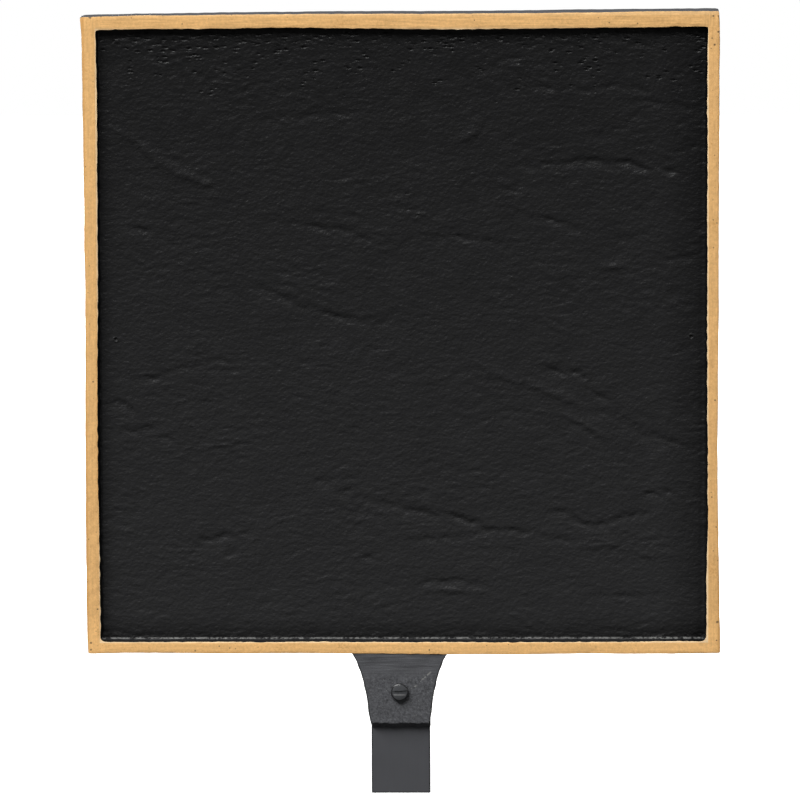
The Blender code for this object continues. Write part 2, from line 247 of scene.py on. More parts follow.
def roundCorner(points, rect, radii):
    # slides a ring's points that are near a corner onto the corner's arc
    left, foot, right, top = rect
    for cornerX, cornerZ, inX, inZ, radius in ((left, foot, 1, 1, radii[0]), (right, foot, -1, 1, radii[0]),
                                               (right, top, -1, -1, radii[1]), (left, top, 1, -1, radii[1])):
        middleX = cornerX + inX * radius
        middleZ = cornerZ + inZ * radius
        fromX = points[:, 0] - middleX
        fromZ = points[:, 2] - middleZ
        near = (fromX * inX < 0) & (fromZ * inZ < 0)
        reach = np.hypot(fromX[near], fromZ[near])
        points[near, 0] = middleX + fromX[near] * radius / reach
        points[near, 2] = middleZ + fromZ[near] * radius / reach


# How the border strays from a true rectangle, in mm: for each side, places along it and its shift there,
# to the right for the left and right sides and upwards for the foot and the top
outerStray = dict(
    left=((69, -0.15), (80, -0.53), (133, -0.7), (164, -0.53), (194, -0.4), (228, -0.05), (258, -0.05),
          (268, -0.45), (290, -0.22), (330, -0.52), (362, -0.68), (372, -1.0), (379, -1.45)),
    right=((69, 0.73), (78, 0.71), (88, 0.38), (103, 0.33), (118, 0.03), (148, -0.53), (165, -0.56),
           (195, -0.43), (240, -0.1), (285, -0.02), (330, 0.08), (350, 0.13), (366, 0.37), (379, -0.1)),
    foot=((-151, -0.12), (-135, 0.22), (-120, 0.3), (-90, 0.0), (-76, -0.05), (-60, 0.11), (-44, 0.13),
          (-25, -0.11), (10, -0.3), (26, -0.55), (44, -0.58), (65, -0.44), (92, -0.15), (110, -0.29),
          (130, -0.25), (153, 0.04)),
    top=((-151, -1.75), (-142, -1.35), (-135, -1.2), (-120, -1.0), (-90, -0.75), (-60, -0.55), (-45, -0.35),
         (0, -0.4), (45, -0.35), (60, -0.2), (92, -0.05), (108, 0.25), (122, 0.55), (153, 0.5)),
)
innerStray = dict(
    left=((75, 0.05), (88, 0.1), (103, 0.0), (118, -0.05), (133, -0.3), (150, -0.55), (180, -0.5),
          (210, -0.4), (225, -0.1), (240, 0.1), (270, 0.2), (290, 0.35), (350, 0.4), (362, 0.05), (372, 0.1)),
    right=((75, -0.5), (103, -0.5), (118, -0.2), (132, 0.35), (148, 0.0), (163, 0.15), (180, 0.0),
           (195, -0.2), (362, -0.2), (368, 0.05), (372, 0.1)),
    foot=((-145, 0.05), (-105, 0.15), (-75, 0.05), (-40, 0.15), (0, -0.05), (45, -0.1), (62, -0.2), (92, 0.0),
          (108, 0.0), (122, 0.3), (148, 0.2)),
    top=((-145, -0.85), (-120, -0.55), (-90, -0.4), (-60, -0.05), (-45, 0.1), (-30, -0.35), (0, -0.65),
         (30, -1.0), (60, -0.75), (78, -0.45), (108, -0.3), (138, 0.05), (148, 0.1)),
)
backTop = ((-151, -1.2), (-147, -0.85), (-143, -0.7), (-120, -0.55), (-105, -0.2), (-90, 0.0), (-60, 0.25),
           (-30, 0.55), (20, 0.55), (45, 0.6), (62, 0.85), (92, 1.2), (122, 1.3), (148, 1.55), (153, 1.55))


def strayShift(points, rect, stray):
    # sideways by the left and right sides' lines, shared out across; up and down by the foot's and top's
    shareX = np.clip((points[:, 0] - rect[0]) / (rect[2] - rect[0]), 0, 1)
    shareZ = np.clip((points[:, 2] - rect[1]) / (rect[3] - rect[1]), 0, 1)
    across = {side: np.interp(points[:, 2] / mm, *zip(*stray[side])) for side in ("left", "right")}
    upward = {side: np.interp(points[:, 0] / mm, *zip(*stray[side])) for side in ("foot", "top")}
    return np.column_stack((across["left"] * (1 - shareX) + across["right"] * shareX,
                            upward["foot"] * (1 - shareZ) + upward["top"] * shareZ)) * mm


def edgeWaver(points, rect, seed, swing):
    # how far each point of a ring moves off its own side, in x and in z: swing gives the mm of the long
    # and the short waves
    x, z = points[:, 0], points[:, 2]
    shift = np.zeros((len(points), 2))
    middleX = (rect[0] + rect[2]) / 2
    middleZ = (rect[1] + rect[3]) / 2
    halfX = (rect[2] - rect[0]) / 2
    halfZ = (rect[3] - rect[1]) / 2
    onSide = softStep(np.abs(x - middleX) / halfX, *casting["onEdge"])
    onLevel = softStep(np.abs(z - middleZ) / halfZ, *casting["onEdge"])
    for side, near in enumerate((x < middleX, x >= middleX, z < middleZ, z >= middleZ)):
        upright = side < 2
        along, share, axis = (z, onSide, 0) if upright else (x, onLevel, 1)
        longWave, shortWave = casting["uprightWaves"] if upright else casting["levelWaves"]
        waver = (wander(along, longWave, seed + side) * swing[0]
                 + wander(along, shortWave, seed + 10 + side) * swing[1])
        shift[:, axis] += np.where(near, share * waver, 0)
    return shift * mm


# Creases of the casting skin, as a kind, a depth, a half-width and the points of its line from left to right,
# all in mm of the frame: a fold is dark above and bright below, a ridge the other way round
creases = (
    ("ridge", 0.34, 1.7, (-139, 324), (-126, 317), (-120, 310), (-111, 303), (-93, 297), (-90, 296)),
    ("fold", 0.34, 1.4, (-74, 248), (-60, 244), (-47, 238), (-35, 234), (-21, 231), (-1, 230)),
    ("fold", 0.20, 1.3, (-70, 327), (-37, 330), (-19, 331)),
    ("fold", 0.26, 1.2, (-65, 279), (-51, 278), (-40, 276), (-25, 274), (-11, 268), (-6, 268)),
    ("fold", 0.20, 1.0, (-26, 282), (-18, 281)),
    ("fold", 0.34, 1.2, (-131, 276), (-124, 275), (-120, 272)),
    ("fold", 0.32, 1.1, (-103, 269), (-94, 271), (-91, 271)),
    ("fold", 0.28, 1.2, (88, 341), (105, 344), (114, 342), (120, 341)),
    ("fold", 0.20, 1.3, (109, 336), (121, 336), (133, 334), (146, 331)),
    ("fold", 0.20, 1.2, (88, 317), (97, 321), (107, 325), (116, 331)),
    ("fold", 0.38, 1.5, (54, 305), (69, 306), (84, 307), (92, 308), (102, 307), (113, 306), (123, 304),
     (135, 302), (143, 299)),
    ("fold", 0.22, 1.1, (131, 311), (143, 315)),
    ("ridge", 0.30, 1.4, (28, 316), (36, 320), (39, 327)),
    ("fold", 0.26, 1.1, (51, 316), (56, 320)),
    ("fold", 0.28, 1.2, (14, 271), (28, 271), (36, 270), (51, 267)),
    ("fold", 0.30, 1.3, (55, 284), (67, 280), (79, 278), (90, 273)),
    ("fold", 0.26, 1.1, (65, 260), (70, 258)),
    ("fold", 0.24, 1.2, (76, 249), (86, 243)),
    ("ridge", 0.30, 1.1, (95, 256), (109, 256)),
    ("fold", 0.24, 1.1, (128, 260), (142, 262)),
    ("fold", 0.20, 1.3, (103, 269), (119, 272)),
    ("fold", 0.24, 1.1, (64, 343), (76, 343)),
    ("fold", 0.20, 1.3, (-67, 342), (-40, 342)),
    ("fold", 0.40, 1.3, (-141, 190), (-135, 191), (-129, 187), (-126, 185)),
    ("fold", 0.30, 1.3, (-135, 178), (-128, 177), (-116, 180)),
    ("fold", 0.22, 1.2, (-116, 174), (-108, 172)),
    ("fold", 0.26, 1.2, (-138, 207), (-129, 203), (-117, 203), (-109, 207), (-90, 210)),
    ("fold", 0.28, 1.3, (-101, 121), (-95, 124), (-84, 126), (-73, 128)),
    ("fold", 0.26, 1.1, (-41, 153), (-33, 152)),
    ("fold", 0.26, 1.1, (-29, 147), (-24, 149)),
    ("fold", 0.36, 1.4, (-22, 145), (-11, 143), (5, 139), (15, 137), (27, 135), (37, 132), (44, 129),
     (60, 128), (72, 125), (84, 123)),
    ("fold", 0.20, 1.3, (-5, 123), (20, 125), (43, 127)),
    ("ridge", 0.26, 1.5, (35, 211), (47, 204), (65, 198), (77, 193), (88, 189)),
    ("fold", 0.40, 1.3, (68, 209), (80, 205), (87, 205), (94, 196), (102, 191)),
    ("fold", 0.34, 1.4, (94, 186), (103, 185), (112, 180), (118, 175), (124, 174), (133, 171), (143, 168)),
    ("fold", 0.24, 1.2, (82, 181), (90, 178), (96, 172)),
    ("ridge", 0.18, 1.1, (64, 187), (78, 184), (100, 174), (116, 166)),
    ("fold", 0.36, 1.3, (70, 136), (80, 138), (88, 132), (100, 132), (107, 135), (118, 137), (120, 138)),
    ("fold", 0.34, 1.3, (116, 146), (132, 147)),
    ("ridge", 0.20, 1.2, (88, 120), (103, 121), (118, 116), (133, 116)),
    ("fold", 0.30, 1.3, (8, 102), (18, 104), (29, 104), (41, 102)),
    ("ridge", 0.24, 1.1, (8, 99), (24, 99), (40, 98)),
    ("fold", 0.18, 1.4, (90, 96), (127, 97)),
    ("fold", 0.22, 1.2, (-22, 113), (-11, 117)),
)


def smoothLine(points, steps=4):
    # a Catmull-Rom curve through the points
    ends = [points[0], *points, points[-1]]
    line = []
    for a, b, c, d in zip(ends, ends[1:], ends[2:], ends[3:]):
        for step in range(steps):
            t = step / steps
            line.append(tuple(0.5 * (2 * q + (r - p) * t + (2 * p - 5 * q + 4 * r - s) * t ** 2
                                     + (3 * q - p - 3 * r + s) * t ** 3)
                              for p, q, r, s in zip(a, b, c, d)))
    line.append(points[-1])
    return line


# the creases' shape, and the strength, width and place of the painted shade on each one's steep wall
creaseShape = dict(
    reach=6, waver=0.45, waverWave=11.0, drift=0.5, driftWave=9.0, steepWall=0.75, gentleWall=1.7,
    fullDepth=0.34, shadeWidth=0.6, foldShadeOffset=0.5, ridgeShadeOffset=-0.7, waverSeed=300, driftSeed=400,
)


def creaseRelief(x, z):
    # x and z in mm; the height in mm, towards the reader, and how much painted shade lies beside the folds
    # and ridges
    look = creaseShape
    height = np.zeros_like(x)
    paintedShade = np.zeros_like(x)
    for index, (kind, depth, halfWidth, *points) in enumerate(creases):
        isFold = kind == "fold"
        line = smoothLine(points)
        reach = look["reach"] * halfWidth
        xs, zs = zip(*line)
        near = np.nonzero((x > min(xs) - reach) & (x < max(xs) + reach)
                          & (z > min(zs) - reach) & (z < max(zs) + reach))[0]
        px, pz = x[near], z[near]
        closest = np.full(len(near), 1e9)
        above = np.zeros(len(near))
        travel = np.zeros(len(near))
        for step, (start, end) in enumerate(zip(line, line[1:])):
            runX, runZ = end[0] - start[0], end[1] - start[1]
            length = math.hypot(runX, runZ)
            share = np.clip(((px - start[0]) * runX + (pz - start[1]) * runZ) / length ** 2, 0, 1)
            offX, offZ = px - start[0] - share * runX, pz - start[1] - share * runZ
            distance = np.hypot(offX, offZ)
            better = distance < closest
            closest[better] = distance[better]
            above[better] = np.sign(runX * offZ - runZ * offX)[better] * distance[better]
            travel[better] = (step + share[better]) / (len(line) - 1)
        ends = np.clip(np.sin(np.pi * np.clip(travel, 0.02, 0.98)), 0, 1) ** 0.5
        waver = 1 + look["waver"] * wander(px + 1.7 * pz, look["waverWave"], look["waverSeed"] + index)
        signed = above + look["drift"] * wander(px, look["driftWave"], look["driftSeed"] + index)
        # the wall that faces down is steep, the one that faces up is gentle
        steep = (signed > 0) if isFold else (signed < 0)
        wallWidth = halfWidth * np.where(steep, look["steepWall"], look["gentleWall"])
        valley = np.exp(-(signed / wallWidth) ** 2)
        fade = np.exp(-np.maximum(closest - np.abs(signed), 0) ** 2 / halfWidth ** 2)
        height[near] += depth * ends * waver * fade * (-valley if isFold else valley)
        # painted shade on the steep wall of each crease
        low = signed - (look["foldShadeOffset"] if isFold else look["ridgeShadeOffset"]) * halfWidth
        strength = np.clip(depth / look["fullDepth"] * ends * waver, 0, 1.2)
        dark = strength * fade * np.exp(-(low / (look["shadeWidth"] * halfWidth)) ** 2)
        paintedShade[near] = np.maximum(paintedShade[near], dark)
    return height, paintedShade


# Pits and blisters left by the sand: middle, spread, how many, radius and depth, in mm
pitClusters = (
    ((-76, 352), (26, 12), 70, 0.9, 0.26),
    ((-100, 362), (30, 5), 36, 0.9, 0.30),
    ((60, 363), (80, 3.5), 90, 0.8, 0.30),
    ((96, 330), (34, 26), 40, 0.8, 0.22),
    ((-110, 275), (22, 12), 30, 1.0, 0.24),
    ((0, 230), (120, 120), 60, 0.9, 0.20),
    ((-125, 190), (12, 20), 22, 1.0, 0.26),
    ((70, 262), (34, 16), 24, 0.8, 0.24),
)


def pitRelief(x, z):
    draw = np.random.default_rng(skin["pitSeed"])
    height = np.zeros_like(x)
    for middle, spread, count, radius, depth in pitClusters:
        for pit in range(count):
            px = middle[0] + draw.normal(0, spread[0])
            pz = middle[1] + draw.normal(0, spread[1])
            size = radius * draw.uniform(0.7, 1.3)
            deep = depth * draw.uniform(-0.5, 1.0)
            near = np.nonzero((np.abs(x - px) < 5 * size) & (np.abs(z - pz) < 4 * size))[0]
            reach = ((x[near] - px) / (1.5 * size)) ** 2 + ((z[near] - pz) / size) ** 2
            height[near] -= deep * np.exp(-reach)
    return height


skin = dict(
    fineHeight=0.056, fineWaves=(3.4, 0.30, 1.2, 0, 13, 160),
    broadHeight=0.034, broadWaves=(7.5, 0.35, 1.3, 0, 14, 90),
    swellHeight=0.05, swellWaves=(38, 0.5, 1.3, 8, 15, 40),
    patchiness=0.28, patchWaves=(34, 0.5, 1.4, 0, 16, 40),
    driftAcross=2.2, acrossWaves=(30, 0.4, 1.2, 10, 11, 30),  # draw the fine and broad waves aside
    driftUp=1.6, upWaves=(24, 0.4, 1.2, 10, 12, 30),
    footLumps=0.10, footWaves=(3.4, 0.3, 1.2, 0, 17, 80), footBand=(3.4, 2.4),  # off the foot, and its width
    topLumps=0.05, topWaves=(3.6, 0.3, 1.6, -20, 18, 80), topBand=(5.0, 4.0),
    creaseShare=1.35, pitShare=0.62, pitSeed=77, sideDip=0.10, sideDipWidth=5,
)


def lumpBand(distance, middle, width):
    return np.exp(-((distance - middle) / width) ** 2)


def fieldRelief(x, z):
    # height of the leathery skin in mm, towards the reader
    left, foot, right, top = (value / mm for value in fieldRect)
    driftX = x + skin["driftAcross"] * skinWaves(x, z, *skin["acrossWaves"])
    driftZ = z + skin["driftUp"] * skinWaves(x, z, *skin["upWaves"])
    fine = skinWaves(driftX, driftZ, *skin["fineWaves"])
    broad = skinWaves(driftX, driftZ, *skin["broadWaves"])
    swell = skinWaves(x, z, *skin["swellWaves"])
    patch = np.exp(skin["patchiness"] * skinWaves(x, z, *skin["patchWaves"]))
    height = (skin["fineHeight"] * patch * fine + skin["broadHeight"] * patch * broad
              + skin["swellHeight"] * swell)
    height += skin["creaseShare"] * creaseRelief(x, z)[0] + skin["pitShare"] * pitRelief(x, z)
    # lumps along the foot and the top, and a dip beside each side's lip
    footLumps = lumpBand(z - foot, *skin["footBand"]) * skinWaves(x, z, *skin["footWaves"])
    topLumps = lumpBand(top - z, *skin["topBand"]) * skinWaves(x, z, *skin["topWaves"])
    height += skin["footLumps"] * footLumps + skin["topLumps"] * topLumps
    for toSide in (x - left, right - x):
        height -= skin["sideDip"] * np.exp(-(toSide / skin["sideDipWidth"]) ** 2)
    return height


# The two small dimples beside the field's middle, in mm
dimple = dict(
    places=((-136.6, 221.5), (140.6, 222.5)), radius=0.9, depth=0.7, rimHeight=0.16, rimWidth=0.4,
    finePatch=(1.7, 1.4), cuts=4,
)


def refineDimples(piece):
    makeActive(piece)
    bpy.ops.object.mode_set(mode="EDIT")
    reachX, reachZ = dimple["finePatch"]
    for placeX, placeZ in dimple["places"]:
        selectFaces(piece, lambda middle, normal: abs(middle.x / mm - placeX) < reachX
                    and abs(middle.z / mm - placeZ) < reachZ and abs(middle.y - fieldY) < 0.1 * mm)
        bpy.ops.mesh.subdivide(number_cuts=dimple["cuts"])
    bpy.ops.object.mode_set(mode="OBJECT")


def dimpleRelief(x, z):
    height = np.zeros_like(x)
    for placeX, placeZ in dimple["places"]:
        distance = np.hypot(x - placeX, z - placeZ)
        height -= dimple["depth"] * np.clip(1.1 - distance / dimple["radius"], 0, 1)
        fromRim = (distance - 1.25 * dimple["radius"]) / dimple["rimWidth"]
        height += dimple["rimHeight"] * np.exp(-fromRim ** 2)
    return height


def buildCasting():
    rings = castingRings()
    floorRect = rings[0][0]
    width, height = floorRect[2] - floorRect[0], floorRect[3] - floorRect[1]
    middle = Vector(((floorRect[0] + floorRect[2]) / 2, fieldY, (floorRect[1] + floorRect[3]) / 2))
    deselectAll()
    bpy.ops.mesh.primitive_grid_add(x_subdivisions=casting["cellsAcross"], y_subdivisions=casting["cellsUp"],
                                    size=1, location=middle, rotation=(math.pi / 2, 0, 0))
    bpy.context.object.scale = (width, height, 1)
    piece = startPiece("plaque_casting")
    flatCount = len(piece.data.vertices)
    ringCount = 2 * (casting["cellsAcross"] + casting["cellsUp"])
    bpy.ops.object.mode_set(mode="EDIT")
    bpy.ops.mesh.select_all(action="SELECT")
    bpy.ops.mesh.region_to_loop()
    before = rings[0]
    for ring in rings[1:]:
        old, new = before[0], ring[0]
        bpy.ops.mesh.extrude_edges_move()
        oldMiddle = Vector(((old[0] + old[2]) / 2, 0, (old[1] + old[3]) / 2))
        newMiddle = Vector(((new[0] + new[2]) / 2, 0, (new[1] + new[3]) / 2))
        stretch = ((new[2] - new[0]) / (old[2] - old[0]), 1, (new[3] - new[1]) / (old[3] - old[1]))
        bpy.ops.transform.resize(value=stretch, center_override=oldMiddle)
        shift = newMiddle - oldMiddle
        shift.y = ring[1] - before[1]
        bpy.ops.transform.translate(value=shift)
        before = ring
    bpy.ops.mesh.edge_face_add()
    bpy.ops.object.mode_set(mode="OBJECT")
    refineDimples(piece)
    points = readPoints(piece)
    ringOf = np.zeros(len(points), int)
    ringEnd = flatCount + ringCount * (len(rings) - 1)
    ringOf[flatCount:ringEnd] = 1 + (np.arange(ringEnd - flatCount) // ringCount)
    print("casting rings:", len(rings), "vertices:", len(points))
    shapeCasting(points, ringOf, rings)
    writePoints(piece, points)
    return piece


def shapeCasting(points, ringOf, rings):
    floorRect = rings[0][0]
    onFloor = ringOf == 0
    sides = ((0, floorRect[0]), (0, floorRect[2]), (2, floorRect[1]), (2, floorRect[3]))
    onSides = [np.abs(points[:, axis] - place) < hair for axis, place in sides]
    rimOfFloor = onFloor & np.any(onSides, axis=0)
    # the skin's relief, full on the floor and fading up the fillet
    x, z = points[:, 0] / mm, points[:, 2] / mm
    relief = np.zeros(len(points))
    for index, fade in enumerate(casting["reliefFade"]):
        at = ringOf == index
        relief[at] = fade * fieldRelief(x[at], z[at])
    relief[onFloor] += dimpleRelief(x[onFloor], z[onFloor])
    for index, (rect, depth, radii, lipShare, edgeShare) in enumerate(rings):
        at = rimOfFloor if index == 0 else ringOf == index
        ring = points[at]
        roundCorner(ring, rect, radii)
        shift = np.zeros((len(ring), 2))
        if lipShare:
            rough = casting["lipRough"] if index > filletRings[-1] else casting["wallRough"]
            shift += lipShare * (strayShift(ring, fieldRect, innerStray)
                                 + edgeWaver(ring, rect, casting["lipSeed"], (casting["wallSwing"], rough)))
        if index in filletRings:
            shift += edgeWaver(ring, rect, casting["filletSeed"] + 7 * index,
                               (casting["wallSwing"], casting["wallRough"]))
        if edgeShare:
            # towards the back the top side follows a line of its own, a little higher
            back = np.clip(depth / (backY - frontY), 0, 1) * edgeShare
            stray = dict(outerStray)
            spots = sorted({place for place, _ in outerStray["top"] + backTop})
            lines = (np.interp(spots, *zip(*outerStray["top"])), np.interp(spots, *zip(*backTop)))
            stray["top"] = tuple(zip(spots, lines[0] * (1 - back) + lines[1] * back))
            shift += edgeShare * (strayShift(ring, outerRect, stray)
                                  + edgeWaver(ring, rect, casting["edgeSeed"], casting["edgeSwing"]))
        ring[:, 0] += shift[:, 0]
        ring[:, 2] += shift[:, 1]
        points[at] = ring
        ringX, ringZ = ring[:, 0] / mm, ring[:, 2] / mm
        if index in faceRings:
            waves = skinWaves(ringX, ringZ, *casting["faceWaves"])
            relief[at] = casting["faceSwell"] * waves - casting["faceDrop"]
        if index in sideRings:
            relief[at] = casting["sideSwell"] * skinWaves(ringX, ringZ, *casting["sideWaves"])
    points[:, 1] -= relief * mm


# The flared tab, part of the same casting

tab = dict(
    thickness=3.4 * mm, setback=0.4 * mm, topHalfWidth=23.2 * mm, waistHalfWidth=16.6 * mm,
    waistDrop=9.2 * mm, cheek=0.2 * mm, edgeRound=0.28 * mm, draft=3.0, root=2.8 * mm, leftExtra=0.6 * mm,
    footRise=0.65 * mm, footSlope=2.4 * mm, cellsAcross=72, cellsUp=58, cellsDeep=4,
    holeRadius=2.7 * mm, holeSides=48,
    grainHeight=0.030, grainWaves=(2.2, 0.3, 1.1, 0, 31, 90), groundEnds=(8, 14),  # mm below the border
    swellHeight=0.05, swellWaves=(13, 0.4, 1.4, 0, 32, 30),
    streakHeight=0.016, streakWaves=(1.9, 0.25, 9.0, 0, 33, 60),
    sideWaver=0.10 * mm, sideWave=(7.0, 34), footWaver=0.12 * mm, footWave=(9.0, 35),  # length in mm and seed
    cornerCuts=((-1, 1.5 * mm, 3.4 * mm), (1, 0.5 * mm, 0.9 * mm)),  # side, how much it cuts in, how high
)
tabFoot = plaqueLow.z
tabFrontY = frontY + tab["setback"]
tabBackY = tabFrontY + tab["thickness"]


def flareHalfWidth(z):
    # the quadratic curve of the tab's side, read at each level by its own share
    drop = plaqueFoot - tabFoot
    waist = tab["waistDrop"]
    want = np.clip(plaqueFoot - z, 0, drop)
    a, b = drop - 2 * waist, 2 * waist
    share = (-b + np.sqrt(b * b + 4 * a * want)) / (2 * a)
    footHalf = stakeHigh.x + tab["cheek"]
    return ((1 - share) ** 2 * tab["topHalfWidth"] + 2 * share * (1 - share) * tab["waistHalfWidth"]
            + share ** 2 * footHalf)


def buildTab():
    top = plaqueFoot + tab["root"]
    deselectAll()
    bpy.ops.mesh.primitive_grid_add(x_subdivisions=tab["cellsAcross"], y_subdivisions=tab["cellsUp"],
                                    size=1, location=(0, tabFrontY, (top + tabFoot) / 2),
                                    rotation=(math.pi / 2, 0, 0))
    bpy.context.object.scale = (2 * tab["topHalfWidth"], top - tabFoot, 1)
    piece = startPiece("tab")
    points = readPoints(piece)
    spread = tab["thickness"] * math.tan(math.radians(tab["draft"]))
    share = points[:, 0] / tab["topHalfWidth"]
    points[:, 0] = share * (flareHalfWidth(points[:, 2]) - spread)
    points[:, 0] -= tab["leftExtra"] * (1 - share) / 2
    # the foot's two corners, the left one cut back further
    for side, cut, rise in tab["cornerCuts"]:
        low = np.clip(1 - (points[:, 2] - tabFoot) / rise, 0, 1)
        outer = np.clip(side * share, 0, 1) ** 6
        points[:, 0] -= side * cut * low ** 1.6 * outer
    writePoints(piece, points)
    bpy.ops.object.mode_set(mode="EDIT")
    bpy.ops.mesh.select_all(action="SELECT")
    bpy.ops.mesh.region_to_loop()
    for step in range(tab["cellsDeep"]):
        bpy.ops.mesh.extrude_edges_move()
        bpy.ops.transform.translate(value=(0, tab["thickness"] / tab["cellsDeep"], 0))
    bpy.ops.mesh.edge_face_add()
    selectEdges(piece, lambda co: co.y < tabFrontY + hair and onTabRim(co, spread))
    bpy.ops.mesh.bevel(offset=tab["edgeRound"], segments=2, affect="EDGES")
    bpy.ops.object.mode_set(mode="OBJECT")
    points = readPoints(piece)
    deep = (points[:, 1] - tabFrontY) / tab["thickness"]
    points[:, 0] *= 1 + deep * spread / flareHalfWidth(points[:, 2])
    sculptTab(points)
    writePoints(piece, points)
    makeActive(piece)
    bpy.ops.object.mode_set(mode="EDIT")
    bpy.ops.mesh.select_all(action="SELECT")
    bpy.ops.mesh.normals_make_consistent(inside=False)
    bpy.ops.object.mode_set(mode="OBJECT")
    deselectAll()
    bpy.ops.mesh.primitive_cylinder_add(vertices=tab["holeSides"], radius=tab["holeRadius"],
                                        depth=3 * tab["thickness"], rotation=(math.pi / 2, 0, 0),
                                        location=(0, (tabFrontY + tabBackY) / 2, screwPlace.z))
    cutWith(piece, startPiece("tab_hole"), "DIFFERENCE")
    return piece


def onTabRim(co, spread):
    # on the tab's two sides or its foot, with the cut corners
    side = flareHalfWidth(np.array([co.z]))[0] - spread
    beyond = co.x > side - hair or -co.x > side + tab["leftExtra"] - hair
    return beyond or co.z < tabFoot + hair or (abs(co.x) > side - 1.6 * mm and co.z < tabFoot + 4 * mm)


def sculptTab(points):
    x, z = points[:, 0] / mm, points[:, 2] / mm
    onFace = softStep(points[:, 1], tabFrontY + 1.2 * mm, tabFrontY + 0.1 * mm)
    # ground in level streaks at the top, grained as cast below
    grain = tab["grainHeight"] * skinWaves(x, z, *tab["grainWaves"])
    lowPart = softStep(z, *(plaqueFoot / mm - end for end in tab["groundEnds"]))
    swell = tab["swellHeight"] * (skinWaves(x, z, *tab["swellWaves"]) - 1)
    streaks = tab["streakHeight"] * skinWaves(x, z, *tab["streakWaves"])
    points[:, 1] -= onFace * (grain * lowPart + swell + streaks * (1 - lowPart)) * mm
    side = np.sign(x) * softStep(np.abs(points[:, 0]) / flareHalfWidth(points[:, 2]), 0.7, 1.0)
    points[:, 0] += side * tab["sideWaver"] * wander(z, *tab["sideWave"])
    # the foot's edge slopes down towards the stake
    deep = np.clip((points[:, 1] - tabFrontY) / tab["thickness"], 0, 1)
    foot = softStep(z, tabFoot / mm + 4, tabFoot / mm)
    points[:, 2] += foot * (tab["footWaver"] * wander(x, *tab["footWave"])
                            + tab["footRise"] - deep * tab["footSlope"])


def finishNormals(piece, angle):
    makeActive(piece)
    bpy.ops.object.shade_smooth_by_angle(angle=math.radians(angle))


def markFolds(piece):
    # a value for each point, read by the paint: painted shade beside the skin's folds and ridges
    points = readPoints(piece)
    paintedShade = creaseRelief(points[:, 0] / mm, points[:, 2] / mm)[1]
    paintedShade[np.abs(points[:, 1] - fieldY) > 1.2 * mm] = 0
    marks = piece.data.attributes.new("fold_painted_shade", "FLOAT", "POINT")
    marks.data.foreach_set("value", paintedShade)


plaque = buildCasting()
print("casting face and back done:", len(plaque.data.polygons), "faces")
tabPiece = buildTab()
print("tab done:", len(tabPiece.data.polygons), "faces")
cutWith(plaque, tabPiece, "UNION")
markFolds(plaque)
finishNormals(plaque, casting["smoothAngle"])
print("tab joined:", len(plaque.data.polygons), "faces")


# The slotted pan-head screw

screw = dict(
    headRadius=4.25 * mm, rim=1.5 * mm, rimBevel=0.18 * mm, headHeight=2.4 * mm, domeSteps=7,
    shankRadius=2.4 * mm, rootRadius=1.95 * mm, threadPitch=0.8 * mm, tip=0.4 * mm,
    slotWidth=1.65 * mm, slotDepth=0.55 * mm, slotTurn=3.0, headShift=(-0.35 * mm, 0.3 * mm),
    sides=64, smoothAngle=32, crown=0.3, crownRise=0.9,  # the flat crown within the last ring
)


def drawOut(middle, scale, shift):
    # extrudes the selected end, scales it about the screw's axis and moves it along it
    bpy.ops.mesh.extrude_region_move()
    bpy.ops.transform.resize(value=(scale, 1, scale), center_override=middle)
    bpy.ops.transform.translate(value=(0, shift, 0))


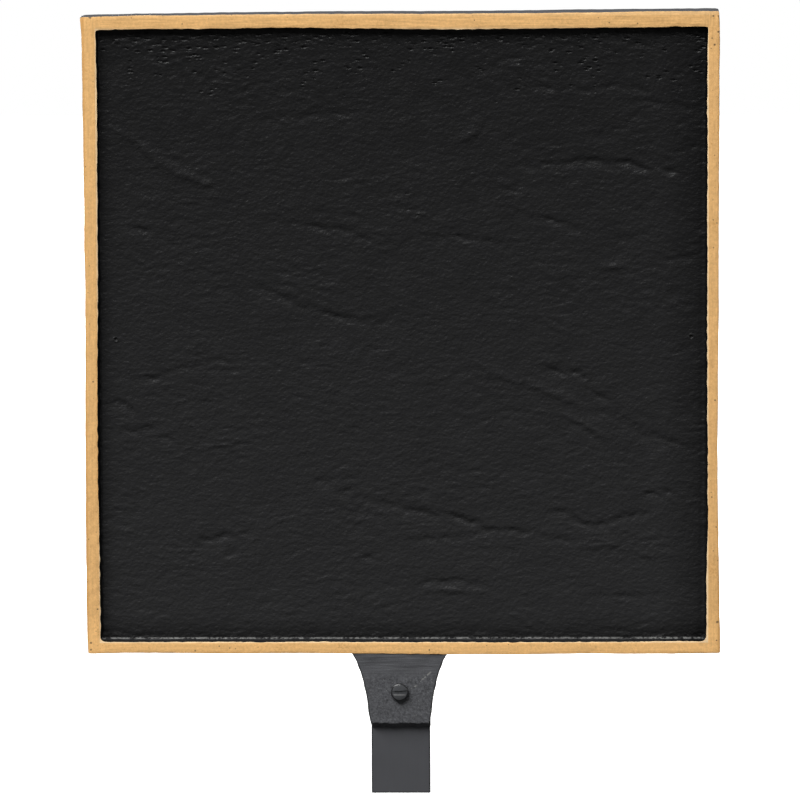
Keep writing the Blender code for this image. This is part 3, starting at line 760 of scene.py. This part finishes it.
def buildScrew():
    faceY = screwLow.y
    seatY = faceY + screw["headHeight"]
    radius = screw["headRadius"]
    dome = screw["headHeight"] - screw["rim"]
    deselectAll()
    bpy.ops.mesh.primitive_cylinder_add(vertices=screw["sides"], radius=radius, depth=screw["rim"],
                                        end_fill_type="NGON", rotation=(math.pi / 2, 0, 0),
                                        location=(0, seatY - screw["rim"] / 2, screwPlace.z))
    piece = startPiece("slotted_screw")
    middle = Vector((0, 0, screwPlace.z))
    bpy.ops.object.mode_set(mode="EDIT")
    # the head's dome, drawn in ring by ring to a small flat crown
    selectFaces(piece, lambda place, normal: normal.y < -0.9)
    turns = [math.pi / 2 * step / (screw["domeSteps"] + 1) for step in range(screw["domeSteps"] + 1)]
    for start, end in zip(turns, turns[1:]):
        drawOut(middle, math.cos(end) / math.cos(start), -dome * (math.sin(end) - math.sin(start)))
    drawOut(middle, screw["crown"], -dome * (1 - math.sin(turns[-1])) * screw["crownRise"])
    # the shank, drawn out of the head's underside
    selectFaces(piece, lambda place, normal: normal.y > 0.9)
    pitch = screw["threadPitch"]
    smooth = stakeHigh.y - 2 * pitch - seatY
    drawOut(middle, screw["shankRadius"] / radius, 0)
    drawOut(middle, 1, smooth)
    threads = int((screwHigh.y - screw["tip"] - seatY - smooth) / pitch)
    root = screw["rootRadius"] / screw["shankRadius"]
    for thread in range(threads):
        drawOut(middle, root, pitch / 2)
        drawOut(middle, 1 / root, pitch / 2)
    drawOut(middle, root, screwHigh.y - seatY - smooth - threads * pitch)
    bpy.ops.object.mode_set(mode="OBJECT")
    # each thread leans by half its lead round the shank
    points = readPoints(piece)
    onThread = (points[:, 1] > stakeHigh.y - 1.9 * pitch) & (points[:, 1] < screwHigh.y - 0.1 * mm)
    lead = np.arctan2(points[:, 2] - screwPlace.z, points[:, 0]) / (2 * math.pi) * pitch
    points[onThread, 1] += 0.5 * lead[onThread]
    writePoints(piece, points)
    makeActive(piece)
    bpy.ops.object.mode_set(mode="EDIT")
    selectEdges(piece, lambda co: abs(co.y - (seatY - screw["rim"])) < hair or abs(co.y - seatY) < hair
                and math.hypot(co.x, co.z - screwPlace.z) > 0.9 * radius)
    bpy.ops.mesh.bevel(offset=screw["rimBevel"], segments=2, affect="EDGES")
    bpy.ops.object.mode_set(mode="OBJECT")
    deselectAll()
    bpy.ops.mesh.primitive_cube_add(size=1, location=(0, faceY, screwPlace.z),
                                    rotation=(0, -math.radians(screw["slotTurn"]), 0))
    bpy.context.object.scale = (3 * radius, 2 * screw["slotDepth"], screw["slotWidth"])
    slotTool = startPiece("slot")
    bpy.ops.object.mode_set(mode="EDIT")
    bpy.ops.mesh.select_all(action="SELECT")
    bpy.ops.mesh.subdivide(number_cuts=1)
    bpy.ops.object.mode_set(mode="OBJECT")
    cutWith(piece, slotTool, "DIFFERENCE")
    # the head sits a little off its shank
    points = readPoints(piece)
    onHead = points[:, 1] < seatY + hair
    points[onHead, 0] += screw["headShift"][0]
    points[onHead, 2] += screw["headShift"][1]
    writePoints(piece, points)
    finishNormals(piece, screw["smoothAngle"])
    return piece


screwPiece = buildScrew()
print("screw done:", len(screwPiece.data.polygons), "faces")


# Shader values: arithmetic on them adds Math nodes

class Wire:
    def __init__(self, tree, socket=None):
        self.tree = tree
        self.socket = socket

    def node(self, kind, settings, values, output=0):
        made = self.tree.nodes.new(kind)
        for name, value in settings.items():
            setattr(made, name, value)
        for name, value in values.items():
            if isinstance(value, Wire):
                self.tree.links.new(value.socket, made.inputs[name])
            else:
                made.inputs[name].default_value = value
        return Wire(self.tree, made.outputs[output])

    def math(self, operation, *values):
        return self.node("ShaderNodeMath", {"operation": operation}, dict(enumerate(values)))

    def __add__(self, other):
        return self.math("ADD", self, other)

    __radd__ = __add__

    def __sub__(self, other):
        return self.math("SUBTRACT", self, other)

    def __rsub__(self, other):
        return self.math("SUBTRACT", other, self)

    def __mul__(self, other):
        return self.math("MULTIPLY", self, other)

    __rmul__ = __mul__

    def __truediv__(self, other):
        return self.math("DIVIDE", self, other)

    def __pow__(self, other):
        return self.math("POWER", self, other)

    def __abs__(self):
        return self.math("ABSOLUTE", self)

    def least(self, other):
        return self.math("MINIMUM", self, other)

    def most(self, other):
        return self.math("MAXIMUM", self, other)

    def step(self, start, end):
        # 0 at start and 1 at end, smooth between them
        return self.node("ShaderNodeMapRange", {"interpolation_type": "SMOOTHSTEP"},
                         {"Value": self, "From Min": start, "From Max": end})


class Finish:
    # one material: its coordinates in mm, its noises and its colour mixes
    def __init__(self, name):
        self.material = bpy.data.materials.new(name)
        self.material.use_nodes = True
        self.tree = self.material.node_tree
        self.shader = self.tree.nodes["Principled BSDF"]
        self.start = Wire(self.tree)
        self.coords = self.start.node("ShaderNodeTexCoord", {}, {}, "Object")
        self.place = self.start.node("ShaderNodeVectorMath", {"operation": "SCALE"},
                                     {0: self.coords, "Scale": 1 / mm})
        parts = [self.start.node("ShaderNodeSeparateXYZ", {}, {0: self.place}, name) for name in "XYZ"]
        self.x, self.y, self.z = parts

    def spread(self, size, shift, stretch):
        # places counted in blots: size is a blot's width in mm, stretched along x, y and z
        return self.start.node("ShaderNodeMapping", {}, {
            "Vector": self.place, "Location": (shift, shift, shift),
            "Scale": tuple(1 / (size * part) for part in stretch)})

    def noise(self, size, detail, shift=0.0, rough=0.55, stretch=(1, 1, 1)):
        return self.start.node("ShaderNodeTexNoise", {"noise_dimensions": "3D"}, {
            "Vector": self.spread(size, shift, stretch), "Scale": 1.0, "Detail": detail,
            "Roughness": rough}, "Fac")

    def cells(self, size, shift, stretch=(1, 1, 1)):
        return self.start.node("ShaderNodeTexVoronoi", {"feature": "F1"}, {
            "Vector": self.spread(size, shift, stretch), "Scale": 1.0}, "Distance")

    def mix(self, factor, first, second):
        return self.start.node("ShaderNodeMix", {"data_type": "RGBA", "clamp_factor": True},
                               {0: factor, 6: self.color(first), 7: self.color(second)}, 2)

    def color(self, value):
        return value if isinstance(value, Wire) else (*value, 1.0)

    def shade(self, color, factor):
        # a colour made lighter or darker by a factor
        grey = self.start.node("ShaderNodeCombineXYZ", {}, {0: factor, 1: factor, 2: factor})
        return self.start.node("ShaderNodeMix", {"data_type": "RGBA", "blend_type": "MULTIPLY"},
                               {0: 1.0, 6: self.color(color), 7: grey}, 2)

    def bump(self, height):
        # height in mm
        return self.start.node("ShaderNodeBump", {}, {"Height": height, "Distance": mm, "Strength": 1.0})

    def feed(self, **values):
        sockets = {"BaseColor": "Base Color", "SpecularLevel": "Specular IOR Level"}
        for name, value in values.items():
            socket = self.shader.inputs[sockets.get(name, name)]
            if isinstance(value, Wire):
                self.tree.links.new(value.socket, socket)
            elif socket.type == "RGBA":
                socket.default_value = (*value, 1.0)
            else:
                socket.default_value = value


# the pale gold and the bead colour are painted highlights; the bare metal colour is also a painted highlight
# on the tab's right edge
castingPaint = dict(
    gold=(0.74, 0.435, 0.172), goldDark=(0.56, 0.28, 0.080), goldHighlight=(0.92, 0.74, 0.48),
    soot=(0.06, 0.045, 0.03), black=(0.0137, 0.0137, 0.0141), charcoal=(0.086, 0.0875, 0.094),
    bareAndHighlight=(0.22, 0.22, 0.21), beadHighlight=(0.17, 0.17, 0.165), specular=0.20,
    # in mm: a scratch's two ends and its width, and a spot's place and radius
    scratches=((9.2, 55.0, 14.8, 59.9, 0.5), (4.9, 51.4, 8.1, 53.4, 0.5), (15.0, 56.3, 15.6, 54.7, 0.6)),
    spots=((-147.5, 377.3, 0.9), (-142.3, 377.7, 0.6), (114.7, 373.8, 0.5), (-149.7, 74.3, 0.7),
           (-149.7, 70.9, 0.7), (153.2, 84.2, 0.8), (151.9, 192.2, 0.6), (151.0, 377.2, 0.6),
           (153.2, 377.2, 0.5), (153.4, 369.6, 0.7), (150.3, 366.6, 0.5), (151.6, 363.4, 0.6),
           (149.9, 361.6, 0.4)),
)


def tabEdgeDistance(x, z, outFoot):
    # how far a place on the tab is from its flared side, in mm
    drop = outFoot - tabFoot / mm
    waist = tab["waistDrop"] / mm
    want = (outFoot - z).most(0.0).least(drop)
    a, b = drop - 2 * waist, 2 * waist
    share = ((want * (4 * a) + b * b) ** 0.5 - b) / (2 * a)
    rest = 1 - share
    half = (rest * rest * (tab["topHalfWidth"] / mm) + share * rest * (2 * tab["waistHalfWidth"] / mm)
            + share * share * ((stakeHigh.x + tab["cheek"]) / mm))
    left = half + x + tab["leftExtra"] / mm
    return left.least(half - x)


def scratchMask(finish, line):
    # 1 along a thin scratch between two places given in mm
    startX, startZ, endX, endZ, width = line
    length = math.hypot(endX - startX, endZ - startZ)
    runX, runZ = (endX - startX) / length, (endZ - startZ) / length
    along = (finish.x - startX) * runX + (finish.z - startZ) * runZ
    off = abs((finish.z - startZ) * runX - (finish.x - startX) * runZ)
    return off.step(width, width * 0.3) * along.step(-0.3, 0.2) * along.step(length + 0.3, length - 0.2)


def castingFinish():
    finish = Finish("casting_paint")
    look = castingPaint
    x, y, z = finish.x, finish.y, finish.z
    left, foot, right, top = (value / mm for value in fieldRect)
    outLeft, outFoot, outRight, outTop = (value / mm for value in outerRect)
    front = frontY / mm
    field = fieldY / mm

    # how far inside the lip, and what is field and what is gold
    inside = (x - left).least(right - x).least(z - foot).least(top - z)
    ragged = finish.noise(1.6, 4)
    deep = y - front
    isField = inside.step(-0.9, -0.7) * (1 - y.step(field + 1.5, field + 1.7))
    isGold = 1 - (deep + (ragged - 0.5) * 0.30).step(0.16, 0.32)
    besideTab = abs(x).step(24, 26)
    isGold = isGold * (1 - inside.step(0.9, 1.2)) * z.step(outFoot - 0.85, outFoot - 0.6).most(besideTab)

    # gold: brushed along each bar and mottled, with a painted highlight along the lip and the outer top edge,
    # and painted shade, browner, along the outer side edges
    bars = (x - (outLeft + 8)).least((outRight - 8) - x).step(-1.5, 1.5)
    brushedLevel = finish.noise(0.9, 4, 3.0, 0.6, stretch=(16, 1, 1))
    brushedUpright = finish.noise(0.9, 4, 9.0, 0.6, stretch=(1, 1, 12))
    brushed = brushedLevel * bars + brushedUpright * (1 - bars)
    mottle = finish.noise(1.3, 5, 5.0, 0.7)
    blots = finish.noise(14, 2, 7.0, 0.5)
    onTop = z.step(top - 1, top)
    lightness = 1.01 + (brushed - 0.5) * (0.46 + 0.45 * onTop) + (mottle - 0.5) * 0.75 + (blots - 0.5) * 0.12
    # painted light: the foot's bar and the left one are made paler, as if lit more strongly
    lightness = lightness + z.step(90, 78) * 0.14 + x.step(-140, -146) * 0.04
    gold = finish.shade(look["gold"], lightness)
    brown = (mottle * 0.5 + blots * 0.5).step(0.42, 0.30) * 0.5
    gold = finish.mix(brown, gold, look["goldDark"])
    # painted shade along the outer left and right edges
    sideEdgeShade = (x - outLeft).least(outRight - x).step(0.75, 0.25)
    gold = finish.mix(sideEdgeShade * 0.5, gold, look["goldDark"])
    # painted highlight along the lip
    lipHighlight = inside.step(-0.55, -0.15) * (0.35 + mottle) * (1 - onTop * 0.85)
    gold = finish.mix(lipHighlight * 0.7, gold, look["goldHighlight"])
    # painted highlight along the outer top edge
    topEdgeHighlight = (outTop - z).step(1.5, 1.0) * (1 - sideEdgeShade)
    gold = finish.mix(topEdgeHighlight * 0.12, gold, look["goldHighlight"])
    # brown grains, soot specks, a smudge along the foot at the right, and the spots of the dictionary
    grains = finish.cells(1.7, 9.0).step(0.26, 0.12) * finish.noise(7, 2, 11.0).step(0.46, 0.60)
    gold = finish.mix(grains * 0.45, gold, look["goldDark"])
    specks = finish.cells(3.4, 2.0)
    dirt = (specks + (finish.noise(30, 2, 1.0) - 0.5) * 0.35).step(0.085, 0.05)
    smudge = finish.noise(5.0, 4, 4.0, stretch=(5, 1, 1)).step(0.60, 0.74) * x.step(60, 120) * z.step(84, 78)
    for spotX, spotZ, radius in look["spots"]:
        offX, offZ = x - spotX, z - spotZ
        away = (offX * offX + offZ * offZ) ** 0.5 + (ragged - 0.5) * 1.2
        dirt = dirt.most(away.step(radius, radius * 0.5))
    gold = finish.mix(dirt * 0.75, gold, look["soot"])
    gold = finish.mix(smudge * 0.35, gold, look["soot"])

    # charcoal of the sides, back and tab, and the black enamel of the field
    sand = finish.noise(0.55, 5, 6.0, 0.7)
    cloud = finish.noise(9.0, 3, 8.0)
    charcoal = finish.shade(look["charcoal"], 1 + (sand - 0.5) * 0.9 + (cloud - 0.5) * 0.25)
    grind = finish.noise(0.75, 3, 2.0, 0.6, stretch=(26, 1, 1))
    grain = finish.noise(0.95, 3, 14.0, 0.6)
    # the tab: ground in level lines above, grained and rubbed below, with painted shade along its outline
    onTab = 1 - z.step(outFoot, outFoot + 0.4)
    isUpper = z.step(outFoot - 14, outFoot - 7)
    upperTab = onTab * isUpper
    lowerTab = onTab * (1 - isUpper)
    charcoal = finish.shade(charcoal, 1 + (grind - 0.5) * 1.5 * upperTab + (grain - 0.5) * 1.9 * lowerTab)
    rub = finish.cells(1.9, 6.0).step(0.18, 0.06) * lowerTab
    charcoal = finish.mix(rub * 0.5, charcoal, look["bareAndHighlight"])
    for line in look["scratches"]:
        scratch = scratchMask(finish, line) * grain.step(0.44, 0.56)
        charcoal = finish.mix(scratch * 0.85, charcoal, look["bareAndHighlight"])
    outlineShade = tabEdgeDistance(x, z, outFoot).step(1.15, 0.45) * onTab
    charcoal = finish.mix(outlineShade * 0.85, charcoal, look["black"])
    # chipped paint on the right edge, lightened also as a painted highlight
    chipsAndHighlight = outlineShade * x.step(5, 8) * mottle.step(0.52, 0.58) * z.step(53, 50)
    charcoal = finish.mix(chipsAndHighlight * 0.7, charcoal, look["bareAndHighlight"])
    # painted light and shade on the black: lighter towards the foot, darker beside the lips and where the
    # field meets the walls, with a random cloudy and sandy tone
    fall = (top - z) / (top - foot)
    lipShade = (right - x).step(24, 6) * 0.32 + (right - x).step(9, 3) * 0.12 + (x - left).step(8, 1) * 0.15
    lipShade = lipShade + (z - foot).step(13, 4) * 0.42 + (z - foot).step(6, 3) * 0.14
    # painted shade where the field meets the side and top walls
    wall = (x - left).least(right - x).least(top - z).step(1.9, 1.1)
    paintedLightAndTone = 0.65 + fall * 0.80 + (cloud - 0.5) * 0.25 + (sand - 0.5) * 0.2
    paintedLightAndTone = paintedLightAndTone * (1 - lipShade) * (1 - wall * 0.6)
    # pocks in patches of the upper part and along the top
    patches = finish.noise(11, 2, 16.0) * (0.75 + 0.35 * z.step(top - 50, top - 6))
    patches = patches.step(0.52, 0.62) * z.step(top - 190, top - 40)
    along = finish.noise(5, 2, 18.0).step(0.40, 0.52) * z.step(top - 13, top - 5)
    pocks = finish.cells(2.7, 4.0, (1.8, 1, 0.7)).step(0.46, 0.14) * patches.most(along)
    # painted shade on the folds' and ridges' steep walls and in the pocks darkens the black
    folds = finish.start.node("ShaderNodeAttribute", {"attribute_name": "fold_painted_shade"}, {}, "Fac")
    black = finish.shade(look["black"], paintedLightAndTone * (1 - pocks * 0.9) * (1 - folds * 0.42))
    # a painted highlight: a beaded pale line where the foot's wall meets the field
    beadHighlight = abs(z - foot - 1.5).step(0.6, 0.2) * finish.noise(1.6, 2, 20.0).step(0.36, 0.62)
    black = finish.mix(beadHighlight * 0.9, black, look["beadHighlight"])
    paint = finish.mix(isField, charcoal, black)
    paint = finish.mix(isGold, paint, gold)

    # roughness and fine relief
    rough = 0.56 + (sand - 0.5) * 0.2
    fieldRough = 0.40 + fall * 0.09 + (cloud - 0.5) * 0.08 + (sand - 0.5) * 0.12 + folds * 0.15
    rough = rough * (1 - isField) + fieldRough * isField
    rough = rough * (1 - isGold) + (0.50 + (mottle - 0.5) * 0.3) * isGold
    ripple = finish.noise(1.5, 2, 4.0, 0.5, stretch=(1.25, 1, 1))
    nearTop = z.step(top - 14, top - 4)
    nearFoot = 1 - z.step(foot + 2.5, foot + 5.5)
    crust = finish.noise(0.8, 4, 12.0, 0.65)
    fieldHeight = ripple * 0.36 + crust * (0.08 + 0.10 * nearTop + 0.16 * nearFoot) - pocks * 0.22
    plainHeight = sand * 0.12 + grind * upperTab * 0.12 + grain * lowerTab * 0.22
    goldHeight = mottle * 0.06 + brushed * 0.05
    height = plainHeight * (1 - isField) + fieldHeight * isField
    height = height * (1 - isGold) + goldHeight * isGold
    finish.feed(BaseColor=paint, Roughness=rough, Normal=finish.bump(height),
                SpecularLevel=look["specular"])
    return finish.material


stakePaint = dict(charcoal=(0.073, 0.0745, 0.081), edge=(0.018, 0.018, 0.019), specular=0.27)


def stakeFinish():
    finish = Finish("stake_charcoal")
    x, y, z = finish.x, finish.y, finish.z
    sand = finish.noise(0.5, 4, 3.0, 0.6)
    drawn = finish.noise(1.2, 3, 5.0, stretch=(1, 1, 22))
    cloud = finish.noise(11, 3, 7.0)
    half = stakeHigh.x / mm
    # painted shade along the bar's two edges and its cut end
    edge = (half - abs(x)).least(z).step(1.0, 0.35) * 0.6
    lightness = 1 + (sand - 0.5) * 0.16 + (drawn - 0.5) * 0.12 + (cloud - 0.5) * 0.12
    color = finish.shade(stakePaint["charcoal"], lightness)
    color = finish.mix(edge, color, stakePaint["edge"])
    height = sand * 0.02 + drawn * 0.02
    finish.feed(BaseColor=color, Roughness=0.50 + (cloud - 0.5) * 0.12, Normal=finish.bump(height),
                SpecularLevel=stakePaint["specular"])
    return finish.material


screwPaint = dict(
    charcoal=(0.062, 0.064, 0.068), rim=(0.010, 0.010, 0.011), slotEdgeHighlight=(0.26, 0.26, 0.26), specular=0.5,
)


def screwFinish():
    finish = Finish("screw_blackened")
    sand = finish.noise(0.5, 4, 3.0, 0.6)
    cloud = finish.noise(2.5, 3, 7.0)
    color = finish.shade(screwPaint["charcoal"], 1 + (sand - 0.5) * 0.5 + (cloud - 0.5) * 0.4)
    # painted shade darkens the head's rim, and a painted highlight lightens the slot's lower edge
    offX = finish.x - (screwPlace.x + screw["headShift"][0]) / mm
    offZ = finish.z - (screwPlace.z + screw["headShift"][1]) / mm
    fromAxis = (offX * offX + offZ * offZ) ** 0.5
    color = finish.mix(fromAxis.step(3.45, 3.85) * 0.9, color, screwPaint["rim"])
    slotHalf = screw["slotWidth"] / mm / 2
    slotEdgeHighlight = abs(offZ + slotHalf + 0.35).step(0.5, 0.2) * fromAxis.step(3.3, 3.0)
    color = finish.mix(slotEdgeHighlight * (0.3 + cloud) * 0.6, color, screwPaint["slotEdgeHighlight"])
    finish.feed(BaseColor=color, Roughness=0.30 + (cloud - 0.5) * 0.15, Normal=finish.bump(sand * 0.03),
                SpecularLevel=screwPaint["specular"])
    return finish.material


def dress(piece, material):
    piece.data.materials.clear()
    piece.data.materials.append(material)


dress(plaque, castingFinish())
dress(screwPiece, screwFinish())
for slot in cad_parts["stake"].material_slots:
    slot.material = stakeFinish()
print("finishes done")

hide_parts("plaque")
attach(plaque, "root")
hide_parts("stake_screw")
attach(screwPiece, "root")


# Stage, lights and camera

studio = dict(
    floorSize=8.0, floorColor=(0.95, 0.95, 0.95), floorGlow=1.0,
    backdrop=1.0, skyTop=0.35, skyLow=0.03, skyRise=(0.30, 0.95), ground=0.06, groundFade=(-0.02, -0.25),
    aim=(0, 0, 0.22),
    keyPlace=(-1.7, -2.1, 3.2), keySize=(3.9, 1.5), keyPower=266.0,
    sidePlace=(1.7, -1.4, 0.6), sideSize=(0.25, 0.7), sidePower=5.0,
    rearPlace=(-1.2, 3.0, 0.30), rearSize=(2.6, 0.5), rearPower=48.0,  # for the strip of the top side
)


def buildStage():
    deselectAll()
    bpy.ops.mesh.primitive_plane_add(size=studio["floorSize"], location=(0, 0, 0))
    floor = startPiece("studio_floor")
    material = bpy.data.materials.new("floor_paint")
    material.use_nodes = True
    shader = material.node_tree.nodes["Principled BSDF"]
    shader.inputs["Base Color"].default_value = (*studio["floorColor"], 1)
    shader.inputs["Roughness"].default_value = 0.9
    shader.inputs["Specular IOR Level"].default_value = 0.0
    shader.inputs["Emission Color"].default_value = (1, 1, 1, 1)
    shader.inputs["Emission Strength"].default_value = studio["floorGlow"]
    dress(floor, material)
    # the sign is lit by the lamps and the sky alone, not by the floor
    floor.visible_diffuse = False
    floor.visible_glossy = False
    floor.visible_shadow = False


def addSoftbox(name):
    place = studio[name + "Place"]
    deselectAll()
    bpy.ops.object.light_add(type="AREA", location=place)
    light = bpy.context.object
    light.name = name + "_softbox"
    light.data.shape = "RECTANGLE"
    light.data.size, light.data.size_y = studio[name + "Size"]
    light.data.energy = studio[name + "Power"]
    light.rotation_euler = (Vector(studio["aim"]) - Vector(place)).to_track_quat("-Z", "Y").to_euler()
    light.visible_camera = False


def buildSky():
    # bright overhead, dark low down, and plain white behind the sign as the camera sees it
    world = bpy.data.worlds.new("studio_sky")
    bpy.context.scene.world = world
    world.use_nodes = True
    tree = world.node_tree
    start = Wire(tree)
    coords = start.node("ShaderNodeTexCoord", {}, {}, "Generated")
    upward = start.node("ShaderNodeSeparateXYZ", {}, {0: coords}, "Z")
    glow = studio["skyLow"] + upward.step(*studio["skyRise"]) * (studio["skyTop"] - studio["skyLow"])
    under = upward.step(*studio["groundFade"]) * studio["ground"]
    toCamera = start.node("ShaderNodeLightPath", {}, {}, "Is Camera Ray")
    strength = (glow + under) * (1 - toCamera) + studio["backdrop"] * toCamera
    background = tree.nodes["Background"]
    background.inputs["Color"].default_value = (1, 1, 1, 1)
    tree.links.new(strength.socket, background.inputs["Strength"])


# The camera, as fitted to the photo: degrees, metres and mm of lens
view = dict(distance=3.7239, elevation=6.807, azimuth=1.166, roll=0.216, lens=347.99, sensor=36.0,
            clipEnd=60.0, aim=(0.31 * mm, frontY, 192.40 * mm))


def buildCamera():
    bearing, rise = math.radians(view["azimuth"]), math.radians(view["elevation"])
    back = Vector((math.sin(bearing) * math.cos(rise), -math.cos(bearing) * math.cos(rise), math.sin(rise)))
    deselectAll()
    bpy.ops.object.camera_add(location=Vector(view["aim"]) + back * view["distance"])
    camera = bpy.context.object
    camera.rotation_mode = "QUATERNION"
    roll = Quaternion((0, 0, 1), -math.radians(view["roll"]))
    camera.rotation_quaternion = (-back).to_track_quat("-Z", "Y") @ roll
    camera.data.lens = view["lens"]
    camera.data.sensor_width = view["sensor"]
    camera.data.clip_end = view["clipEnd"]
    bpy.context.scene.camera = camera


buildStage()
buildSky()
for name in ("key", "side", "rear"):
    addSoftbox(name)
buildCamera()
bpy.context.scene.view_settings.view_transform = "Standard"
print("stage, lights and camera done")
